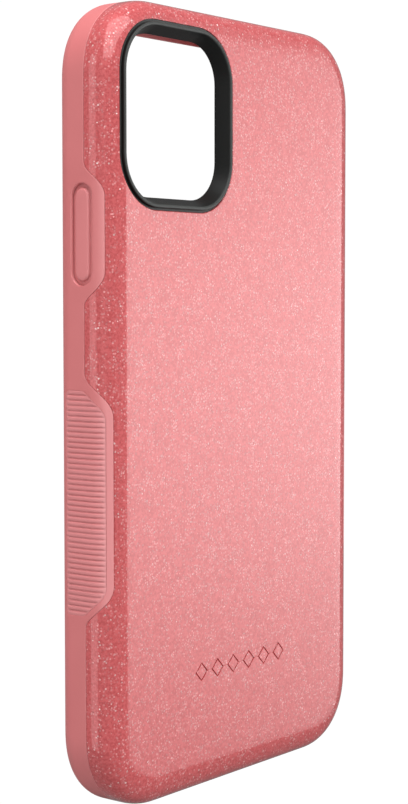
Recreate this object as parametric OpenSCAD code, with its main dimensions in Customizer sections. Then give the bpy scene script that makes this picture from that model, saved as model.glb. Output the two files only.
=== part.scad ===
// Two-layer protective phone case.
// A hard outer shell clips over the back of a rubber liner that holds the phone. A camera bezel sits in
// the shell, ribbed grip pads sit in the liner's sides, and three keys slide in pockets in its walls.
//
// Frame: X across the width, to the right as seen from behind. Y from the decorated back, at -Y, to the
// screen opening, at +Y. Z up the height of the case, from 0 at its bottom edge.
// Between from_back() and the parts, Y is counted as depth in from the back face.

/* [Phone] */
// Width of the phone that the case holds
phone_w = 75.7; // [68:0.1:80]
// Height of the phone
phone_h = 150.9; // [145:0.1:165]
// Thickness of the phone
phone_t = 8.3; // [7.6:0.1:9]
// Corner radius of the phone, seen from the front
phone_r = 11; // [9:0.1:13]

/* [Case] */
// Wall beside the phone, shell and liner together
wall = 3.8; // [3.6:0.1:4.4]
// Thickness of the hard shell
shell_t = 1.4; // [1.2:0.1:1.6]
// Thickness of the rubber floor behind the phone
floor_t = 1.2; // [1:0.1:1.6]
// Height of the front lip above the screen
lip_t = 2.5; // [1.5:0.1:3]
// How far the front lip reaches over the edge of the screen
lip_reach = 1.5; // [0.5:0.1:2]
// Rounding of the edge round the back
back_round = 4.4; // [4.2:0.1:5]
// Rounding of the edge round the front
front_round = 3.8; // [3:0.1:4.2]
// Depth of the seam where the shell ends and the rubber band begins
seam = 6; // [5.5:0.1:6.5]

/* [Camera] */
// Outer width of the camera bezel
bezel_w = 34.6; // [30:0.1:36]
// Outer height of the camera bezel
bezel_h = 36.7; // [32:0.1:40]
// Outer corner radius of the bezel
bezel_r = 10.6; // [6:0.1:12]
// Width of the bezel, from its outer edge to its window
bezel_face = 2.6; // [1.6:0.1:3]
// How far the bezel stands proud of the back
bezel_proud = 0.5; // [0.3:0.1:1]
// Depth to which the bezel's flange is set into the shell
bezel_sunk = 0.5; // [0.3:0.1:0.8]
// Gap from the bezel to the case's left edge and to its top edge
bezel_margin = 4; // [3.8:0.1:8]

/* [Keys] */
// Depth of the line along which the keys lie
key_y = 6.6; // [6.3:0.1:7]
// Width of a key's raised island
island_w = 3.5; // [3:0.1:4]
// Length of the power key's island
power_island_l = 17.7; // [12:0.1:20]
// Length of each volume key's island
volume_island_l = 8.6; // [7:0.1:9.2]
// Width of the moat that surrounds an island
moat_w = 5.7; // [5.2:0.1:6]
// Depth of the moat
moat_d = 1.1; // [0.8:0.1:1.2]
// Height of the power key's centre
power_z = 112.8; // [108:0.1:116]
// Height of the point midway between the volume keys
volume_z = 110.2; // [106:0.1:114]
// Distance between the volume keys' centres
volume_pitch = 11.8; // [11:0.1:12.5]

/* [Grips] */
// Height of the bottom of each ribbed pad
grip_z0 = 39.4; // [36:0.1:44]
// Number of grooves across a pad
groove_count = 42; // [20:1:44]
// Distance from one groove to the next
groove_pitch = 1.02; // [0.8:0.01:1.02]
// Width of a groove
groove_w = 0.34; // [0.2:0.02:0.5]
// Depth of a groove
groove_d = 0.35; // [0.2:0.05:0.5]
// Thickness of a pad
pad_t = 0.8; // [0.6:0.1:1]

/* [Bottom edge] */
// Width of the charging port opening
port_w = 13; // [10:0.5:15]
// Depth of the charging port opening
port_d = 6.6; // [6:0.1:6.8]
// Length of each speaker slot
speaker_l = 12; // [8:0.5:14]

/* [Hidden] */
$fn = 48;

// Clearances: between the two layers, round a key, round a grip pad, round the bezel, round the bezel's
// tube where it passes the liner, and round the phone
gap = 0.1;
key_gap = 0.1;
pad_gap = 0.05;
bezel_gap = 0.05;
tube_gap = 0.2;
phone_play = 0.1;
// How far a cutting shape runs past the face it cuts, and how far two joined shapes reach into each other
past = 1;
join = 0.25;

// Overall sizes, and the straight lengths between the corner centres
case_w = phone_w + 2 * wall;
case_h = phone_h + 2 * wall;
plan_r = phone_r + wall;
straight_w = case_w - 2 * plan_r;
straight_h = case_h - 2 * plan_r;

// Depths of the layers, from the back face
liner_y = shell_t + gap;
pocket_y = liner_y + floor_t;
lip_y = pocket_y + phone_t + phone_play;
case_t = lip_y + lip_t;
back_y = (bezel_proud - case_t) / 2;

// The lip's inner edge stands upright for lip_edge, then slopes back by lip_bevel to the front face
lip_edge = 0.7;
lip_bevel = 0.5;

// Camera bezel: how far its face overhangs the tube below it, and its place on the back
bezel_flange = 0.8;
tube_t = bezel_face - bezel_flange;
window_w = bezel_w - 2 * bezel_face;
window_h = bezel_h - 2 * bezel_face;
window_r = bezel_r - bezel_face;
bezel_x = bezel_margin + bezel_w / 2 - case_w / 2;
bezel_z = case_h - bezel_margin - bezel_h / 2;

// Rubber tabs that reach over the shell's edge: [one end, the other, length of a shoulder, reach], where
// the reach is how far the tab runs round the back edge, in degrees
power_tab = [99, 126, 4.4, 41];
volume_tab = [94.4, 136.6, 4.4, 41];
grip_tab = [38, 85.5, 7.6, 59];
// The same for the tab round the charging port and speakers, which runs along X across the bottom edge
port_tab = [-25, 25, 2.6, 24];
// Part of a shoulder's length taken by the short steep lines at its two ends
shoulder_ease = 0.25;
// Depth to which a tab is rooted in the liner's wall
tab_root = 2.5;

// Grip pads: how far round the back edge they reach, in degrees, where they end near the front, and the
// border of tab left round them
pad_reach = 41;
pad_front = 10.7;
pad_border = 1.4;
grip_l = groove_count * groove_pitch + groove_pitch - groove_w;
grip_z1 = grip_z0 + grip_l;

// Keys: the plate behind the moat, and the pusher that meets the phone's own key
plate_t = 0.8;
plate_lip = 0.75;
pusher_w = 2.6;
pusher_gap = 0.25;
pusher_inset = 2;
power_moat_l = power_island_l + moat_w - island_w;
volume_moat_l = volume_pitch + volume_island_l + moat_w - island_w;
seat_w = moat_w + 2 * plate_lip;

// Mute switch slot
mute_w = 5;
mute_l = 9.6;
mute_z = 127.6;

// Charging port and speaker slots, on the bottom edge
port_y = pocket_y + (phone_t + phone_play) / 2;
port_r = 2.5;
speaker_w = 2.2;
speaker_x = 15.5;

// Row of lozenges near the foot of the back, each drawn by a sunk line
lozenge_count = 6;
lozenge_pitch = 5.3;
lozenge_side = 2.9;
lozenge_line = 0.36;
lozenge_d = 0.25;
lozenge_z = 24.6;

// Moves a part drawn with Y as depth from the back to its place in the frame
module from_back() {
    translate([0, back_y, 0]) children();
}

// Runs an outline drawn in X and Z from depth y0 to depth y1
module slab(y0, y1) {
    translate([0, y1, 0]) rotate([90, 0, 0]) linear_extrude(y1 - y0) children();
}

// Runs an outline drawn in Y and Z from x0 to x1
module across(x0, x1) {
    translate([x0, 0, 0]) rotate([90, 0, 90]) linear_extrude(x1 - x0) children();
}

// Runs an outline drawn in X and Y from height z0 to height z1
module upright(z0, z1) {
    translate([0, 0, z0]) linear_extrude(z1 - z0) children();
}

// Draws its children on the left side, where they are given for the right
module on_left() {
    mirror([1, 0, 0]) children();
}

// Draws its children on the bottom edge, where they are given for the right side with Z measured from
// the middle of the bottom edge
module on_bottom() {
    translate([0, 0, plan_r + straight_w / 2]) rotate([0, 90, 0]) children();
}

// A quarter of a disc, in the corner between +X and +Y
module quarter_disc(r) {
    intersection() {
        circle(r);
        square(r);
    }
}

module rounded_rect(w, h, r) {
    square([w, h - 2 * r], center = true);
    square([w - 2 * r, h], center = true);
    for (sx = [0, 1], sy = [0, 1])
        mirror([sx, 0]) mirror([0, sy]) translate([w / 2 - r, h / 2 - r]) quarter_disc(r);
}

// A slot with round ends, of width w across X and length l along Y
module pill(w, l) {
    square([w, l - w], center = true);
    for (s = [-1, 1])
        translate([0, s * (l - w) / 2]) circle(w / 2);
}

// Section through the case's outer form, inset all round. X runs out from the line through the corner
// centres, and Y is depth from the back.
module form_section(inset) {
    back_x = plan_r - back_round;
    front_x = plan_r - front_round;
    front_y = case_t - front_round;
    polygon([[0, inset], [back_x, inset], [back_x, back_round], [plan_r - inset, back_round],
             [plan_r - inset, front_y], [front_x, front_y], [front_x, case_t - inset],
             [0, case_t - inset]]);
    translate([back_x, back_round]) mirror([0, 1]) quarter_disc(back_round - inset);
    translate([front_x, front_y]) quarter_disc(front_round - inset);
}

// Carries a section round the case's outline: two sides, two ends and four corners
module round_outline() {
    translate([0, 0, case_h / 2]) {
        for (sx = [0, 1])
            mirror([sx, 0, 0]) translate([straight_w / 2, 0, 0])
                linear_extrude(straight_h, center = true) children();
        for (sz = [0, 1])
            mirror([0, 0, sz]) translate([0, 0, straight_h / 2]) rotate([0, -90, 0])
                linear_extrude(straight_w, center = true) children();
        for (sx = [0, 1], sz = [0, 1])
            mirror([sx, 0, 0]) mirror([0, 0, sz]) translate([straight_w / 2, 0, -straight_h / 2])
                rotate([-90, 0, 0]) rotate_extrude(angle = 90) children();
    }
}

// The flat plate between the corner centres, which closes the sections carried round it
module core_plate(y0, y1) {
    slab(y0, y1) translate([0, case_h / 2]) square([straight_w, straight_h], center = true);
}

// The part of a section that lies within an angle of the side, round the back edge's centre
module within_reach(angle) {
    back_x = plan_r - back_round;
    ray = back_round + 2 * past;
    intersection() {
        children();
        polygon([[back_x, back_round], [back_x + ray * cos(angle), back_round - ray * sin(angle)],
                 [plan_r + ray, back_round - ray * sin(angle)], [plan_r + ray, case_t + past],
                 [back_x, case_t + past]]);
    }
}

// Side view of a tab's outline in Y and Z, from the seam towards the back, brought in by an inset
module tab_outline(tab, inset, top) {
    z0 = tab[0] + inset;
    z1 = tab[1] - inset;
    rise = tab[2];
    ease = rise * shoulder_ease;
    low = back_round * (1 - sin(tab[3]));
    step = (seam - low) * shoulder_ease / 2;
    polygon([[top, z0], [seam, z0], [seam - step, z0 + ease], [low + step, z0 + rise - ease],
             [low, z0 + rise], [-past, z0 + rise + ease], [-past, z1 - rise - ease], [low, z1 - rise],
             [low + step, z1 - rise + ease], [seam - step, z1 - ease], [seam, z1], [top, z1]]);
}

// Notch in the shell's right side for a tab
module tab_notch(tab) {
    intersection() {
        upright(tab[0], tab[1])
            translate([straight_w / 2, 0])
            within_reach(tab[3]) translate([0, -past]) square([plan_r + past, case_t]);
        across(straight_w / 2, case_w / 2 + past) tab_outline(tab, 0, seam + past);
    }
}

// Rubber tab on the liner's right side, a gap inside its notch
module tab_fill(tab) {
    inset = gap * sqrt(2);
    intersection() {
        upright(tab[0], tab[1])
            translate([straight_w / 2, 0])
            within_reach(tab[3] - atan(gap / back_round)) difference() {
                form_section(0);
                form_section(tab_root);
            }
        across(straight_w / 2, case_w / 2 + past) tab_outline(tab, inset, seam + gap);
    }
}

module shell_section() {
    intersection() {
        difference() {
            form_section(0);
            form_section(shell_t);
        }
        square([plan_r + past, seam]);
    }
}

// Port opening through the bottom edge, drawn in X and Y
module port_cut() {
    upright(-past, wall + lip_reach) translate([0, port_y]) rounded_rect(port_w, port_d, port_r);
}

module lozenges() {
    slab(-past, lozenge_d)
        for (i = [0 : lozenge_count - 1])
            translate([(i - (lozenge_count - 1) / 2) * lozenge_pitch, lozenge_z])
                rotate(45) difference() {
                    square(lozenge_side, center = true);
                    square(lozenge_side - 2 * lozenge_line, center = true);
                }
}

// Outline of the camera window, grown all round
module camera_outline(grow) {
    translate([bezel_x, bezel_z])
        rounded_rect(window_w + 2 * grow, window_h + 2 * grow, window_r + grow);
}

module outer_shell() {
    color([0.93, 0.55, 0.56]) from_back() difference() {
        union() {
            round_outline() shell_section();
            core_plate(0, shell_t);
        }
        slab(-past, liner_y) camera_outline(tube_t + bezel_gap);
        slab(-past, bezel_sunk) camera_outline(bezel_face + bezel_gap);
        on_left() tab_notch(power_tab);
        on_left() tab_notch(grip_tab);
        tab_notch(volume_tab);
        tab_notch(grip_tab);
        on_bottom() tab_notch(port_tab);
        lozenges();
    }
}

// Liner wall: set in by the shell below the seam, full size above it, hollow for the phone and open
// at the front for the screen
module liner_section() {
    screen_x = plan_r - wall - lip_reach;
    difference() {
        union() {
            form_section(liner_y);
            intersection() {
                form_section(0);
                translate([0, seam + gap]) square([plan_r + past, case_t]);
            }
        }
        translate([0, pocket_y]) square([plan_r - wall, lip_y - pocket_y]);
        translate([0, lip_y])
            polygon([[0, -past], [screen_x, -past], [screen_x, lip_edge],
                     [screen_x + lip_bevel, lip_t], [screen_x + lip_bevel, lip_t + past],
                     [0, lip_t + past]]);
    }
}

// Recess for a grip pad, or the pad itself, on the right side
module pad_form(thickness, grow) {
    intersection() {
        upright(grip_z0 - grow, grip_z1 + grow)
            translate([straight_w / 2, 0])
            within_reach(pad_reach + atan(grow / back_round)) difference() {
                translate([0, -past]) intersection() {
                    square([plan_r + past, pad_front + past + grow]);
                    translate([0, past]) form_section(0);
                }
                form_section(thickness);
            }
        across(straight_w / 2, case_w / 2 + past) pad_outline(grow);
    }
}

// Side view of a grip pad, which keeps the tab's shoulders at a border's distance
module pad_outline(grow) {
    low = back_round * (1 - sin(pad_reach));
    cut_y = seam + pad_border / 2;
    rise = grip_tab[2] - pad_border;
    polygon([[pad_front + past, grip_z0 - grow], [cut_y, grip_z0 - grow],
             [low, grip_z0 - grow + rise], [-past, grip_z0 - grow + rise], [-past, grip_z1 + grow - rise],
             [low, grip_z1 + grow - rise], [cut_y, grip_z1 + grow],
             [pad_front + past, grip_z1 + grow]]);
}

// Stepped pocket for keys in the right wall: the moat outside, and a wider seat that opens inwards
module key_pocket(z, moat_l) {
    translate([0, key_y, z]) {
        across(case_w / 2 - moat_d - join, case_w / 2 + past) pill(moat_w, moat_l);
        across(case_w / 2 - wall - past, case_w / 2 - moat_d)
            pill(seat_w, moat_l + 2 * plate_lip);
    }
}

// A key on the right side: island outside, plate behind the moat, and pusher towards the phone.
// The plate is one slice of the whole seat, from bottom to top.
module key(z, island_z, island_l, moat_l, bottom, top) {
    plate_x = case_w / 2 - moat_d - key_gap;
    translate([0, key_y, z]) {
        across(plate_x - join, case_w / 2) translate([0, island_z]) pill(island_w, island_l);
        across(plate_x - plate_t, plate_x) intersection() {
            pill(seat_w - 2 * key_gap, moat_l + 2 * plate_lip - 2 * key_gap);
            translate([-seat_w, bottom]) square([2 * seat_w, top - bottom]);
        }
        across(case_w / 2 - wall + pusher_gap, plate_x - join)
            translate([0, island_z]) pill(pusher_w, island_l - 2 * pusher_inset);
    }
}

module inner_liner() {
    color([0.84, 0.51, 0.52]) from_back() difference() {
        union() {
            round_outline() liner_section();
            core_plate(liner_y, pocket_y);
            on_left() tab_fill(power_tab);
            on_left() tab_fill(grip_tab);
            tab_fill(volume_tab);
            tab_fill(grip_tab);
            on_bottom() tab_fill(port_tab);
        }
        slab(0, pocket_y + past) camera_outline(tube_t + tube_gap);
        on_left() key_pocket(power_z, power_moat_l);
        key_pocket(volume_z, volume_moat_l);
        across(case_w / 2 - wall - past, case_w / 2 + past)
            translate([key_y, mute_z]) pill(mute_w, mute_l);
        on_left() pad_form(pad_t, pad_gap);
        pad_form(pad_t, pad_gap);
        port_cut();
        for (s = [-1, 1])
            upright(-past, wall + lip_reach)
                translate([s * speaker_x, port_y]) rotate(90) pill(speaker_w, speaker_l);
    }
}

module camera_bezel() {
    color([0.3, 0.32, 0.31]) from_back() difference() {
        union() {
            slab(-bezel_proud, bezel_sunk) camera_outline(bezel_face);
            slab(0, pocket_y) camera_outline(tube_t);
        }
        slab(-bezel_proud - past, pocket_y + past) camera_outline(0);
    }
}

module power_button() {
    color([0.83, 0.49, 0.5]) from_back() on_left()
        key(power_z, 0, power_island_l, power_moat_l, -power_moat_l, power_moat_l);
}

module volume_up_button() {
    color([0.83, 0.49, 0.5]) from_back()
        key(volume_z, volume_pitch / 2, volume_island_l, volume_moat_l, key_gap, volume_moat_l);
}

module volume_down_button() {
    color([0.83, 0.49, 0.5]) from_back()
        key(volume_z, -volume_pitch / 2, volume_island_l, volume_moat_l, -volume_moat_l, -key_gap);
}

// A ribbed pad for the right side
module grip_pad() {
    difference() {
        pad_form(pad_t - pad_gap, 0);
        for (i = [0 : groove_count - 1])
            upright(grip_z0 + (i + 1) * groove_pitch - groove_w, grip_z0 + (i + 1) * groove_pitch)
                translate([straight_w / 2, 0]) difference() {
                    translate([0, -past]) square([plan_r + past, case_t]);
                    form_section(groove_d);
                }
    }
}

module left_grip() {
    color([0.78, 0.46, 0.47]) from_back() on_left() grip_pad();
}

module right_grip() {
    color([0.78, 0.46, 0.47]) from_back() grip_pad();
}

outer_shell();
inner_liner();
camera_bezel();
power_button();
volume_up_button();
volume_down_button();
left_grip();
right_grip();
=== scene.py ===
"""Looks of the two-layer phone case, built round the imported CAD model.

Lengths are millimetres until a mesh is made, which turns them into metres. Y is counted as depth in from
the case's back face. A point on the case's outer skin is given by where it is round the outline and by
its travel: the distance round the section from the edge of the flat back, over the rounded back edge,
along the side and over the rounded front edge. Depth below the skin is measured square to it.
"""
import math

import bmesh
import bpy
import numpy as np
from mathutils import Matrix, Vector
from mathutils.geometry import delaunay_2d_cdt


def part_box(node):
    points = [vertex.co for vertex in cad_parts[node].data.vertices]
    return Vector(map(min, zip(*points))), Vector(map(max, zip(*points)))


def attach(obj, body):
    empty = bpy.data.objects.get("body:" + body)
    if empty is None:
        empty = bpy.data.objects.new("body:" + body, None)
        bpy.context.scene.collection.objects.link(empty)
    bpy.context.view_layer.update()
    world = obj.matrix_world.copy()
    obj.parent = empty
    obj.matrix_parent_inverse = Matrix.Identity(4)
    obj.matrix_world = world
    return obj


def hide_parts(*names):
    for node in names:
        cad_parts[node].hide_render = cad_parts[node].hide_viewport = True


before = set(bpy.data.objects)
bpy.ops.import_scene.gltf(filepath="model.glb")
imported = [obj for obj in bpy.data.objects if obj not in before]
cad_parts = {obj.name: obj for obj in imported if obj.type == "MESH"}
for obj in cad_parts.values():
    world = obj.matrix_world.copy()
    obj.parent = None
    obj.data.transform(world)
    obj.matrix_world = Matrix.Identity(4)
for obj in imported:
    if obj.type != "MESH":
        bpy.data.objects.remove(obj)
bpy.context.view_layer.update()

MM = 0.001

# Points closer than this are one point, and smaller numbers than TINY count as nought
SAME_POINT = 1e-6
TINY = 1e-12

# ---- sizes, from the frame and as in the CAD


def node_box(node):
    """The low and high corners of a CAD node, in millimetres."""
    low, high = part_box(node)
    return np.array(low) / MM, np.array(high) / MM


shell_low, shell_high = node_box("outer_shell")
_, liner_high = node_box("inner_liner")
bezel_low, bezel_high = node_box("camera_bezel")

BACK_Y = shell_low[1]
HALF_W = shell_high[0]
CASE_H = shell_high[2]
CASE_T = liner_high[1] - BACK_Y
SEAM = shell_high[1] - BACK_Y
PROUD = BACK_Y - bezel_low[1]

# Edge roundings of the section, and the corner of the outline. The back edge and the corner are
# superellipses, which ease into the flats beside them
BACK_REACH = 8.0
SIDE_REACH = SEAM
BACK_POWER = 3.35
CAD_BACK_ROUND = 4.4
FRONT_ROUND = 3.8
CORNER = 16.1
CORNER_POWER = 2.22

# Layers. The liner starts a little below the shell, and its tabs' feet keep a little further off
SHELL_T = 1.4
GAP = 0.04
FOOT_GAP = 0.1
LINER_IN = SHELL_T + 3 * GAP
POCKET = 2.7
WALL = 3.8

# The lip: the depth of its inner face, how far in it reaches, and where its flat front ends
LIP = 11.1
LIP_REACH = 5.3
RIM_FLAT_END = 4.55

# The back edge's rounding, sampled finely: travel, inset, depth from the back and the way inwards
ARC_TURN = np.linspace(0, math.pi / 2, 1201)
ARC_INSET = BACK_REACH * (1 - np.sin(ARC_TURN) ** (2 / BACK_POWER))
ARC_Y = SIDE_REACH * (1 - np.cos(ARC_TURN) ** (2 / BACK_POWER))
ARC_TRAVEL = np.concatenate(([0.0], np.cumsum(np.hypot(np.diff(ARC_INSET), np.diff(ARC_Y)))))
ARC_LEAN = np.arctan2(np.sin(ARC_TURN) ** (2 - 2 / BACK_POWER) / BACK_REACH,
                      np.cos(ARC_TURN) ** (2 - 2 / BACK_POWER) / SIDE_REACH)

# Travel along the section
BACK_ARC = float(ARC_TRAVEL[-1])
SIDE_END = BACK_ARC + CASE_T - FRONT_ROUND - SIDE_REACH
FRONT_FLAT = SIDE_END + FRONT_ROUND * math.pi / 2


def side_travel(y):
    """Travel of a point on the side at a depth from the back."""
    if y < SIDE_REACH:
        return float(np.interp(y, ARC_Y, ARC_TRAVEL))
    return BACK_ARC + y - SIDE_REACH


def reach_travel(angle):
    """Travel of a line that lies an angle, in degrees, round the CAD's back edge from the side."""
    return side_travel(CAD_BACK_ROUND * (1 - math.sin(math.radians(angle))))


SEAM_TRAVEL = side_travel(SEAM)

# The skin's rows start at this inset, and the back is filled in from there
SKIN_START_INSET = 3.0
SKIN_START = float(np.interp(-SKIN_START_INSET, -ARC_INSET, ARC_TRAVEL))

# Rims: the radius that eases the shell's edge, and the one that eases the rubber's
SHELL_RIM = 0.16
TAB_RIM = 0.15

# Rubber tabs: side, one end, other end, length of a shoulder, travel of their edge
TABS = [
    ("left", 99.9, 125.7, 3.9, reach_travel(41)),
    ("left", 38.0, 85.3, 5.3, reach_travel(59)),
    ("right", 94.6, 136.9, 3.9, reach_travel(41)),
    ("right", 38.0, 85.3, 5.3, reach_travel(59)),
    ("bottom", -24.5, 24.5, 2.6, reach_travel(24)),
]
SEAM_EASE = 0.9
REACH_EASE = 2.2

# Keys: an island in a moat, on a plate that lies in a wider seat. PRESS is how far a key goes in
KEY_TRAVEL = side_travel(6.6)
MOAT_R = 2.66
MOAT_D = 0.62
SEAT_R = 3.6
SEAT_GAP = 0.1
SEAT_ROOF = 0.05
PLATE_D = MOAT_D + SEAT_GAP
PLATE_T = 0.8
PLATE_ROUND = SEAT_R - 0.15
PLATE_SQUARE = 0.15
ISLAND_R = 1.74
ISLAND_CROWN = 0.42
PUSHER_R = 1.3
PUSHER_SHORTER = 2.0
PUSHER_SHY = 0.25
PRESS = 0.5
POWER_Z = 112.8
POWER_ISLAND = 17.7
VOLUME_Z = 110.2
VOLUME_PITCH = 11.8
VOLUME_ISLAND = 8.6
VOLUME_ISLANDS = VOLUME_PITCH + VOLUME_ISLAND
MUTE_Z = 127.6
MUTE_R = 2.5
MUTE_L = 9.6
# The middle of the narrow bridge between the volume keys' seat and the mute switch's slot
SLOT_BRIDGE_Z = 122.5

# Grip pads
PAD_LOW = 39.4
PAD_HIGH = 83.0
PAD_BACK = reach_travel(41)
PAD_FRONT = side_travel(10.9)
PAD_SHOULDER = 3.9
PAD_SHOULDER_IN = 0.3
PAD_SHOULDER_EASE = 1.6
PAD_CORNER = 0.9
PAD_GAP = 0.04
PAD_PROUD = 0.02
PAD_T = 0.7
PAD_RECESS = 0.75
PAD_RIM_D = 0.04
GROOVES = 42
GROOVE_PITCH = 1.02
GROOVE_D = 0.24
GROOVE_HALF_W = 0.15
GROOVE_STOP = 0.15
GROOVE_RUN_OUT = 0.55

# Bottom openings
PORT_TRAVEL = side_travel(6.9)
PORT_W = 13.0
PORT_D = 6.4
PORT_R = 2.5
SPEAKER_X = 15.5
SPEAKER_L = 12.0
SPEAKER_R = 1.1

# Camera bezel: a proud bead, a ledge outside it and a flange under the shell, round a sloping window wall
BEZEL_X = (bezel_low[0] + bezel_high[0]) / 2
BEZEL_Z = (bezel_low[2] + bezel_high[2]) / 2
BEZEL_W = bezel_high[0] - bezel_low[0]
BEZEL_H = bezel_high[2] - bezel_low[2]
BEZEL_R = 10.6
BEZEL_IN = 2.6
BEAD_START = 0.42
BEAD_END = 1.25
BEAD_ROUND = 0.26
BEAD_DROP = 0.32
BEAD_FALL = 0.4
LEDGE_Y = 0.3
FLANGE = 0.8
FLANGE_Y = 0.6
TUBE_EASE = 0.1
BEZEL_ARC_STEPS = 14

# The openings for the bezel in the shell and the liner, measured in from the bezel's outline
BEZEL_GAP = 0.04
HOLE_EASE = 0.2
HOLE_IN = 0.75
HOLE_STEP_Y = FLANGE_Y + 0.05
LINER_HOLE_IN = 0.6

# Row of lozenges, each drawn by a sunk line
LOZENGES = 6
LOZENGE_PITCH = 5.3
LOZENGE_SIDE = 2.9
LOZENGE_LINE = 0.36
LOZENGE_CORNER = 0.25
LOZENGE_D = 0.25
LOZENGE_Z = 24.6

# Spacing of the points round the outline: coarse, and fine along tabs and openings
SIDE_STEPS = (2.5, 0.42)
END_STEPS = (3.0, 0.45)
CORNER_STEPS = 26


# ---- outline and section


def spaced(start, end, steps, fine_spans):
    """Positions from start to end, a fine step apart inside the given spans and a coarse one elsewhere."""
    coarse, fine = steps
    low, high = min(start, end), max(start, end)
    cuts = sorted({low, high, *[min(max(c, low), high) for span in fine_spans for c in span]})
    places = [low]
    for a, b in zip(cuts, cuts[1:]):
        middle = (a + b) / 2
        in_span = any(s[0] <= middle <= s[1] for s in fine_spans)
        count = max(1, round((b - a) / (fine if in_span else coarse)))
        places += [a + (b - a) * (k + 1) / count for k in range(count)]
    return places if start < end else places[::-1]


def make_stations():
    """Points round the outline, anticlockwise as seen from behind: side, place along it, x, z, normal. They
    lie closest along the spans that tabs and openings take up."""
    half_h = CASE_H / 2
    straight_x = HALF_W - CORNER
    straight_z = half_h - CORNER
    right_fine = [(36.5, 87), (92.5, SLOT_BRIDGE_Z), (SLOT_BRIDGE_Z, 139)]
    left_fine = [(36.5, 87), (97.5, 128)]
    bottom_fine = [(-25.4, 25.4)]
    rows = []

    def corner(sx, sz, rising):
        for k in range(1, CORNER_STEPS):
            a = math.pi / 2 * (k if rising else CORNER_STEPS - k) / CORNER_STEPS
            c, s = math.cos(a), math.sin(a)
            x = straight_x + CORNER * c ** (2 / CORNER_POWER)
            z = straight_z + CORNER * s ** (2 / CORNER_POWER)
            nx, nz = c ** (2 - 2 / CORNER_POWER), s ** (2 - 2 / CORNER_POWER)
            size = math.hypot(nx, nz)
            rows.append(("corner", 0.0, sx * x, half_h + sz * z, sx * nx / size, sz * nz / size))

    for z in spaced(CORNER, CASE_H - CORNER, SIDE_STEPS, right_fine):
        rows.append(("right", z, HALF_W, z, 1.0, 0.0))
    corner(1, 1, True)
    for x in spaced(straight_x, -straight_x, END_STEPS, []):
        rows.append(("top", x, x, CASE_H, 0.0, 1.0))
    corner(-1, 1, False)
    for z in spaced(CASE_H - CORNER, CORNER, SIDE_STEPS, left_fine):
        rows.append(("left", z, -HALF_W, z, -1.0, 0.0))
    corner(-1, -1, True)
    for x in spaced(-straight_x, straight_x, END_STEPS, bottom_fine):
        rows.append(("bottom", x, x, 0.0, 0.0, -1.0))
    corner(1, -1, False)
    return rows


def section_point(travel, depth):
    """Inset from the outline and depth from the back, of a point below the skin at a travel."""
    if travel <= 0:
        return BACK_REACH - travel, depth
    if travel <= BACK_ARC:
        inset, y, lean = (float(np.interp(travel, ARC_TRAVEL, a)) for a in (ARC_INSET, ARC_Y, ARC_LEAN))
        return inset + depth * math.sin(lean), y + depth * math.cos(lean)
    if travel <= SIDE_END:
        return depth, SIDE_REACH + travel - BACK_ARC
    if travel <= FRONT_FLAT:
        a = (travel - SIDE_END) / FRONT_ROUND
        r = FRONT_ROUND - depth
        return FRONT_ROUND - r * math.cos(a), CASE_T - FRONT_ROUND + r * math.sin(a)
    return FRONT_ROUND + travel - FRONT_FLAT, CASE_T - depth


def place(station, inset, y):
    """The point at an inset from the outline at a station, and at a depth from the back."""
    return (station[2] - inset * station[4], BACK_Y + y, station[3] - inset * station[5])


def on_side(side, along, travel, depth):
    """The point below the skin of one of the case's straight sides."""
    inset, y = section_point(travel, depth)
    station = {
        "right": ("right", along, HALF_W, along, 1.0, 0.0),
        "left": ("left", along, -HALF_W, along, -1.0, 0.0),
        "bottom": ("bottom", along, along, 0.0, 0.0, -1.0),
    }[side]
    return place(station, inset, y)


def shoulder(along, low_end, high_end, length, top, bottom, top_ease, bottom_ease):
    """A line that drops from top to bottom over a shoulder at each end, with its bends eased."""
    t = min(along - low_end, high_end - along)
    slope = (bottom - top) / length
    value = top if t <= 0 else bottom if t >= length else top + slope * t
    for at, ease, turn in ((0.0, top_ease, slope), (length, bottom_ease, -slope)):
        near = t - at
        if abs(near) < ease:
            straight = max(near, 0.0) * turn
            value += turn * (near + ease) ** 2 / (4 * ease) - straight
    return value


def seam_travel(station):
    """Travel of the shell's edge at a station: the seam, or the edge of a tab."""
    for side, low_end, high_end, length, travel in TABS:
        if station[0] == side and low_end - SEAM_EASE < station[1] < high_end + SEAM_EASE:
            return shoulder(station[1], low_end, high_end, length, SEAM_TRAVEL, travel,
                            SEAM_EASE, min(REACH_EASE, length / 2))
    return SEAM_TRAVEL


def pad_back(z):
    """Travel of a grip pad's back edge at a height."""
    return shoulder(z, PAD_LOW + PAD_SHOULDER_IN, PAD_HIGH - PAD_SHOULDER_IN, PAD_SHOULDER,
                    SEAM_TRAVEL, PAD_BACK, PAD_SHOULDER_IN, PAD_SHOULDER_EASE)


def smooth(t):
    """A smooth step from 0 to 1."""
    t = np.clip(t, 0.0, 1.0)
    return t * t * (3 - 2 * t)


# ---- mesh building


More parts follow.
